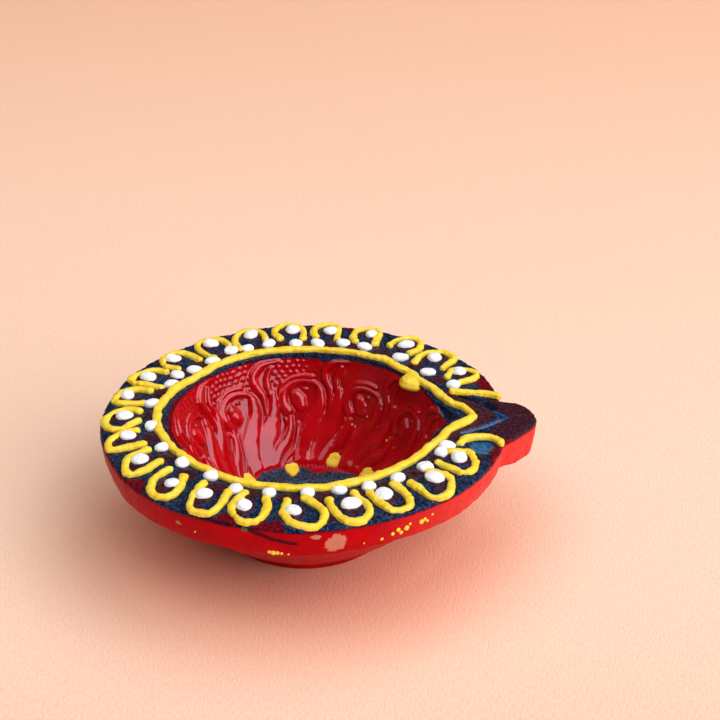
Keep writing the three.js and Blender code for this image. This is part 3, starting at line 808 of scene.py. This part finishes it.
def floor_dab(number, material):
    """A flattened dab of yellow in the corner between the bowl's wall and its floor."""
    node = f"floor_dab_{number:02d}"
    centre, _ = dot_centre(node)
    rng = np.random.default_rng(SEED + 500 + number)
    vertices, faces = drop_shape(3.2, 0.7, 500 + number, squareness=3.4, lumps=0.16)
    vertices[:, 1] *= rng.uniform(0.98, 1.12)
    vertices[:, 0] *= rng.uniform(0.95, 1.05)
    bearing = math.degrees(math.atan2(centre[1], centre[0])) % 360
    down = DAB_DOWN.get(number, DAB_USUAL_DOWN)
    if number in DAB_DRIPS:
        tail = smooth(-vertices[:, 1], 1.0, 1.5)
        vertices[:, 0] = vertices[:, 0] * (1 - 0.45 * tail) + 0.3 * tail
        vertices[:, 1] -= 0.9 * tail
    placed = draped(vertices, bearing, down)
    return new_object(f"{node}_bead", placed, faces, material, [node])


def flecks(name, places, lay, material):
    """Small drops of paint flicked over the lamp, each laid on it by the function lay."""
    all_vertices, all_faces = [], []
    start = 0
    for number, (bearing, below, width) in enumerate(places):
        vertices, faces = drop_shape(width, 0.28 * width, 700 + 3 * number, rings=5, around=14)
        vertices[:, 2] = np.maximum(vertices[:, 2], -0.12)
        all_vertices.append(lay(vertices, bearing, below))
        all_faces.extend([[start + corner for corner in face] for face in faces])
        start += len(vertices)
    return new_object(name, np.vstack(all_vertices), all_faces, material)


def laid_on_rim(vertices, bearing, below):
    """Lays a flat drop on the outside of the rim: its x goes round it and its y goes up."""
    body = bpy.data.objects["painted_clay"]
    radius = reach_of(body, [FLANGE_TOP - below], [bearing], outward=False)[0]
    angle = np.radians(bearing + np.degrees(vertices[:, 0] / radius))
    reach = radius + vertices[:, 2]
    return np.stack([reach * np.cos(angle), reach * np.sin(angle), FLANGE_TOP - below + vertices[:, 1]], -1)


# ---- materials

class Nodes:
    """Short calls for building one material's nodes."""

    def __init__(self, name):
        self.material = bpy.data.materials.new(name)
        self.material.use_nodes = True
        self.tree = self.material.node_tree
        self.shader = self.tree.nodes["Principled BSDF"]

    def link(self, value, socket):
        if isinstance(value, bpy.types.NodeSocket):
            self.tree.links.new(value, socket)
        elif value is not None:
            socket.default_value = value

    def new(self, kind):
        return self.tree.nodes.new(f"ShaderNode{kind}")

    def attribute(self, name):
        node = self.new("Attribute")
        node.attribute_name = name
        return node.outputs["Fac"]

    def place(self):
        return self.new("TexCoord").outputs["Object"]

    def noise(self, per_mm, detail=3.0, rough=0.55, stretch=None):
        node = self.new("TexNoise")
        where = self.place()
        if stretch:
            mapping = self.new("Mapping")
            mapping.inputs["Scale"].default_value = stretch
            self.link(where, mapping.inputs["Vector"])
            where = mapping.outputs["Vector"]
        self.link(where, node.inputs["Vector"])
        node.inputs["Scale"].default_value = per_mm / MM
        node.inputs["Detail"].default_value = detail
        node.inputs["Roughness"].default_value = rough
        return node.outputs["Fac"]

    def math(self, operation, a, b=None):
        node = self.new("Math")
        node.operation = operation
        self.link(a, node.inputs[0])
        self.link(b, node.inputs[1])
        return node.outputs[0]

    def times(self, a, b):
        return self.math("MULTIPLY", a, b)

    def step(self, value, low, high, out_low=0.0, out_high=1.0):
        node = self.new("MapRange")
        node.interpolation_type = "SMOOTHSTEP"
        self.link(value, node.inputs["Value"])
        limits = {"From Min": low, "From Max": high, "To Min": out_low, "To Max": out_high}
        for name, limit in limits.items():
            node.inputs[name].default_value = limit
        return node.outputs[0]

    def colour(self, factor, a, b):
        node = self.new("Mix")
        node.data_type = "RGBA"
        self.link(factor, node.inputs[0])
        for value, socket in ((a, node.inputs[6]), (b, node.inputs[7])):
            self.link((*value, 1) if isinstance(value, tuple) else value, socket)
        return node.outputs[2]

    def number(self, factor, a, b):
        node = self.new("Mix")
        self.link(factor, node.inputs[0])
        self.link(a, node.inputs[2])
        self.link(b, node.inputs[3])
        return node.outputs[0]

    def bump(self, height, depth):
        node = self.new("Bump")
        node.inputs["Distance"].default_value = depth * MM
        self.link(height, node.inputs["Height"])
        return node.outputs["Normal"]

    def set(self, **values):
        names = {"colour": "Base Color", "rough": "Roughness", "normal": "Normal", "coat": "Coat Weight",
                 "coat_rough": "Coat Roughness", "specular": "Specular IOR Level", "tint": "Specular Tint",
                 "soft": "Subsurface Weight", "soft_scale": "Subsurface Scale"}
        for key, value in values.items():
            self.link(value, self.shader.inputs[names[key]])
        return self.material


def offset_noise(n, value, reach):
    """A noise centred on nothing, reaching about half of reach each way."""
    return n.times(n.math("SUBTRACT", value, 0.5), reach)


def red_paint(n, noises):
    """Thick enamel in the bowl with painted shade between its scrolls, a duller coat round the sides with a
    painted sheen where they face the light, and red soaked through the flange's top.
    """
    in_bowl = n.attribute("bowl")
    sides = n.colour(n.step(noises["broad"], 0.35, 0.68), (0.40, 0.0002, 0.0005), (0.52, 0.0004, 0.001))
    enamel = n.colour(n.step(noises["broad"], 0.35, 0.68), (0.42, 0.0002, 0.001), (0.55, 0.0005, 0.004))
    red = n.colour(in_bowl, sides, enamel)
    # Painted shade: the red in the bowl is darkened between the raised scrolls.
    painted_valley_shade = n.times(n.step(n.attribute("ridge"), 0.02, 0.5, 1, 0), in_bowl)
    red = n.colour(n.times(painted_valley_shade, 0.3), red, (0.26, 0.0, 0.001))
    # Painted sheen: coral on the side of the rim that faces the light, patchy with noise.
    sheen_share = n.times(n.attribute("painted_sheen"), n.step(noises["blotch"], 0.3, 0.7, 0.55, 0.8))
    red = n.colour(n.times(sheen_share, n.attribute("rim")), red, (0.80, 0.055, 0.042))
    soaked = n.colour(n.step(noises["strokes"], 0.42, 0.60), (0.045, 0.001, 0.005), (0.21, 0.002, 0.006))
    return n.colour(n.attribute("top"), red, soaked)


def navy_paint(n, noises):
    """Navy brushed on in streaks, with worn spots, pale specks painted in as glints, and thinner on the
    bowl's floor.
    """
    navy = n.colour(n.step(noises["blotch"], 0.42, 0.62), (0.0015, 0.0025, 0.010), (0.005, 0.018, 0.055))
    navy = n.colour(n.step(noises["strokes"], 0.53, 0.62), navy, (0.012, 0.055, 0.145))
    navy = n.colour(n.step(noises["lines"], 0.57, 0.66, 0, 0.8), navy, (0.030, 0.115, 0.24))
    # Painted glints: pale bluish specks scattered over the navy.
    painted_glints = n.step(n.noise(2.9, 2), 0.64, 0.70)
    navy = n.colour(n.times(painted_glints, 0.7), navy, (0.20, 0.19, 0.24))
    worn = n.step(n.noise(1.7, 3), 0.66, 0.70)
    navy = n.colour(n.times(worn, 0.8), navy, (0.16, 0.006, 0.012))
    washed = n.colour(n.step(noises["grain"], 0.4, 0.62), (0.003, 0.010, 0.030), (0.055, 0.095, 0.15))
    return n.colour(n.attribute("floor"), navy, washed)


def flange_colour(n, noises, blue):
    """Navy, with brown on the raised leaves, and blue or near black in the carving."""
    grain, strokes = noises["grain"], noises["strokes"]
    brown = n.colour(n.step(strokes, 0.42, 0.62), (0.016, 0.004, 0.008), (0.090, 0.019, 0.027))
    brown_edge = n.math("ADD", n.attribute("maroon"), offset_noise(n, grain, 1.2))
    flange = n.colour(n.step(brown_edge, 0.38, 0.58), navy_paint(n, noises), brown)
    bright = n.colour(n.step(strokes, 0.4, 0.6), (0.007, 0.055, 0.17), (0.020, 0.150, 0.36))
    flange = n.colour(blue, flange, bright)
    dark = n.times(n.step(n.attribute("dark"), 0.15, 0.7), 0.9)
    return n.colour(dark, flange, (0.003, 0.005, 0.016))


def marked(n, colour):
    """Dark streaks, a spot of olive and chips down to the terracotta, on the rim."""
    wobble = offset_noise(n, n.noise(0.8, 5, 0.65), 1.3)
    for name, amount, tint in (("streak", 0.85, (0.02, 0.004, 0.008)), ("olive", 0.9, (0.12, 0.13, 0.03)),
                               ("chip", 0.9, (0.60, 0.24, 0.15))):
        share = n.step(n.math("ADD", n.attribute(name), wobble), -0.02, 0.12)
        colour = n.colour(n.times(share, amount), colour, tint)
    return colour


def painted_clay():
    """Red enamel inside the bowl and round the sides, navy and brown brushed over the flange."""
    n = Nodes("painted_clay")
    noises = {"grain": n.noise(2.2, 4), "broad": n.noise(0.22, 3), "blotch": n.noise(0.75, 4, 0.6),
              "strokes": n.noise(1.3, 4, 0.65, stretch=(1.0, 2.6, 1.0)),
              "lines": n.noise(1.5, 3, 0.6, stretch=(2.8, 0.9, 1.0))}
    grain, broad = noises["grain"], noises["broad"]
    in_bowl = n.attribute("bowl")
    floor = n.attribute("floor")
    blue = n.step(n.math("ADD", n.attribute("blue"), offset_noise(n, grain, 0.9)), 0.3, 0.6)
    ragged = offset_noise(n, n.noise(0.9, 5, 0.65), 1.5)
    covered = n.step(n.math("ADD", n.attribute("navy_mm"), ragged), -0.12, 0.12)
    colour = marked(n, n.colour(covered, red_paint(n, noises), flange_colour(n, noises, blue)))

    red_rough = n.number(in_bowl, n.step(broad, 0.3, 0.7, 0.42, 0.55), n.step(broad, 0.3, 0.7, 0.16, 0.24))
    navy_rough = n.step(noises["blotch"], 0.35, 0.65, 0.42, 0.18)
    rough = n.number(covered, red_rough, n.number(blue, navy_rough, 0.16))
    rough = n.number(n.times(floor, covered), rough, 0.4)
    top_coat = n.number(n.attribute("blue"), n.step(grain, 0.5, 0.6, 0.0, 0.25), 0.8)
    coat = n.number(in_bowl, n.number(n.attribute("rim"), top_coat, 0.0), n.number(floor, 1.0, 0.3))

    pits = n.math("ADD", n.times(grain, 0.7), n.times(n.noise(6.0, 2), 0.3))
    pitting = n.number(covered, n.number(in_bowl, 0.45, 0.05), 1.3)
    normal = n.bump(n.times(pits, pitting), 0.2)
    return n.set(colour=colour, rough=rough, normal=normal, coat=coat, coat_rough=0.09, specular=0.1,
                 tint=(0.3, 0.2, 1.0, 1))


def yellow_paint():
    """Thick piped acrylic."""
    n = Nodes("yellow_piping")
    broad = n.noise(0.5, 3)
    grain = n.noise(2.8, 3)
    colour = n.colour(n.step(broad, 0.3, 0.7), (0.93, 0.61, 0.020), (0.97, 0.72, 0.065))
    colour = n.colour(n.step(grain, 0.56, 0.72, 0, 0.4), colour, (0.99, 0.82, 0.22))
    normal = n.bump(n.math("ADD", grain, n.times(broad, 1.5)), 0.09)
    return n.set(colour=colour, rough=n.step(grain, 0.3, 0.7, 0.34, 0.5), normal=normal, specular=0.3,
                 soft=0.12, soft_scale=0.0006)


def white_paint():
    n = Nodes("white_piping")
    broad = n.noise(0.9, 3)
    grain = n.noise(3.4, 3)
    colour = n.colour(n.step(broad, 0.35, 0.7), (0.90, 0.925, 0.97), (0.96, 0.965, 0.985))
    pinhole = n.step(n.noise(1.9, 1), 0.245, 0.275, 0.55, 0)
    colour = n.colour(pinhole, colour, (0.30, 0.33, 0.42))
    normal = n.bump(n.math("ADD", grain, n.times(broad, 1.6)), 0.12)
    return n.set(colour=colour, rough=n.step(grain, 0.3, 0.7, 0.42, 0.6), normal=normal, specular=0.3,
                 soft=0.1, soft_scale=0.0006)


def floor_material():
    n = Nodes("peach_paper")
    grain = n.noise(1.6, 4, 0.7)
    creases = n.noise(1.5, 3, 0.6, stretch=(1.5, 0.55, 1.0))
    sheet = n.noise(0.004, 2)
    away = n.new("SeparateXYZ")
    n.link(n.place(), away.inputs[0])
    far = n.step(away.outputs["Y"], 0.02, 0.5)
    near = n.step(away.outputs["Y"], -0.02, -0.16)
    # Painted shade: the paper is darker and redder within a few cm of the lamp, for its shadow and the red
    # light it throws back.
    painted_shadow_tint = n.new("VectorMath")
    painted_shadow_tint.operation = "LENGTH"
    n.link(n.place(), painted_shadow_tint.inputs[0])
    painted_shadow_tint = n.step(painted_shadow_tint.outputs["Value"], 0.062, 0.03)
    colour = n.colour(far, (0.97, 0.68, 0.51), (0.97, 0.56, 0.37))
    colour = n.colour(near, colour, (0.94, 0.54, 0.38))
    colour = n.colour(painted_shadow_tint, colour, (0.95, 0.51, 0.33))
    colour = n.colour(n.step(sheet, 0.35, 0.65, 0, 0.15), colour, (0.93, 0.60, 0.43))
    worn = n.times(n.step(creases, 0.40, 0.62), n.number(near, 0.12, 0.5))
    colour = n.colour(worn, colour, (0.86, 0.33, 0.20))
    height = n.math("ADD", grain, n.times(creases, 1.4))
    return n.set(colour=colour, rough=0.85, normal=n.bump(height, 0.08), specular=0.1)


# ---- stage

def make_floor():
    mesh = bpy.data.meshes.new("table")
    reach = 5.0
    corners = [(-reach, -reach, 0), (reach, -reach, 0), (reach, reach, 0), (-reach, reach, 0)]
    mesh.from_pydata(corners, [], [(0, 1, 2, 3)])
    mesh.materials.append(floor_material())
    table = bpy.data.objects.new("table", mesh)
    bpy.context.collection.objects.link(table)


def softbox(name, azimuth, elevation, distance, size, radiance, colour):
    """A square light of a given brightness, aimed at the lamp. Distance and size are in metres."""
    lamp = bpy.data.lights.new(name, "AREA")
    lamp.shape = "RECTANGLE"
    lamp.size, lamp.size_y = size
    lamp.energy = radiance * math.pi * size[0] * size[1]
    lamp.color = colour
    box = bpy.data.objects.new(name, lamp)
    a, e = math.radians(azimuth), math.radians(elevation)
    way = Vector((math.cos(a) * math.cos(e), math.sin(a) * math.cos(e), math.sin(e)))
    box.location = way * distance + Vector((0, 0, 0.02))
    box.rotation_euler = way.to_track_quat("Z", "Y").to_euler()
    bpy.context.collection.objects.link(box)


def make_lights():
    softbox("key", 40, 62, 2.0, (1.5, 1.5), 1.95, (1.0, 0.985, 0.96))
    softbox("panel", -33, 32, 2.0, (2.25, 2.3), 3.5, (0.975, 0.945, 1.0))
    softbox("fill", -150, 68, 2.0, (1.8, 1.8), 1.5, (1.0, 0.99, 0.98))
    world = bpy.data.worlds.new("studio")
    world.use_nodes = True
    world.node_tree.nodes["Background"].inputs[0].default_value = (1.0, 0.96, 0.93, 1)
    world.node_tree.nodes["Background"].inputs[1].default_value = 0.06
    bpy.context.scene.world = world
    bpy.context.scene.view_settings.view_transform = "Standard"


def make_camera():
    elevation, turn = math.radians(CAMERA["elevation"]), math.radians(CAMERA["turn"])
    right = Vector((math.cos(turn), math.sin(turn), 0))
    level_back = Vector((math.sin(turn), -math.cos(turn), 0))
    back = level_back * math.cos(elevation) + Vector((0, 0, math.sin(elevation)))
    up = back.cross(right)
    camera = bpy.data.cameras.new("camera")
    camera.lens = CAMERA["lens"]
    camera.sensor_width = 36
    camera.clip_start = 0.01
    holder = bpy.data.objects.new("camera", camera)
    place = Vector((0, 0, FLANGE_TOP * MM)) + back * CAMERA["distance"] + right * CAMERA["aside"]
    place += up * CAMERA["above"]
    holder.matrix_world = Matrix.Translation(place) @ Matrix((right, up, back)).transposed().to_4x4()
    bpy.context.collection.objects.link(holder)
    bpy.context.scene.camera = holder


make_camera()
make_lights()
make_floor()
clay = painted_clay()
yellow = yellow_paint()
white = white_paint()
clay_body(clay)
bead("mouth_line", yellow, 100, with_drip)
bead("spout_stroke_left", yellow, 104)
bead("spout_stroke_right", yellow, 108)
for number in range(1, PETALS + 1):
    bead(f"petal_loop_{number:02d}", yellow, 120 + 4 * number)
    node = f"petal_dot_{number:02d}"
    centre, width = dot_centre(node)
    white_dot(f"{node}_drop", centre, width * 1.08, PETAL_DOT_HEIGHT, white, 300 + 3 * number, [node])
for number, (bearing, radius, width) in enumerate(RING_DOTS, 1):
    dot = f"ring_dot_{number:02d}"
    white_dot(dot, polar(bearing, radius), 1.06 * width, RING_DOT_HEIGHT, white, 400 + 3 * number)
for number in range(1, FLOOR_DABS + 1):
    floor_dab(number, yellow)
flecks("bowl_flecks", BOWL_FLECKS, draped, yellow)
flecks("rim_flecks", RIM_FLECKS, laid_on_rim, yellow)
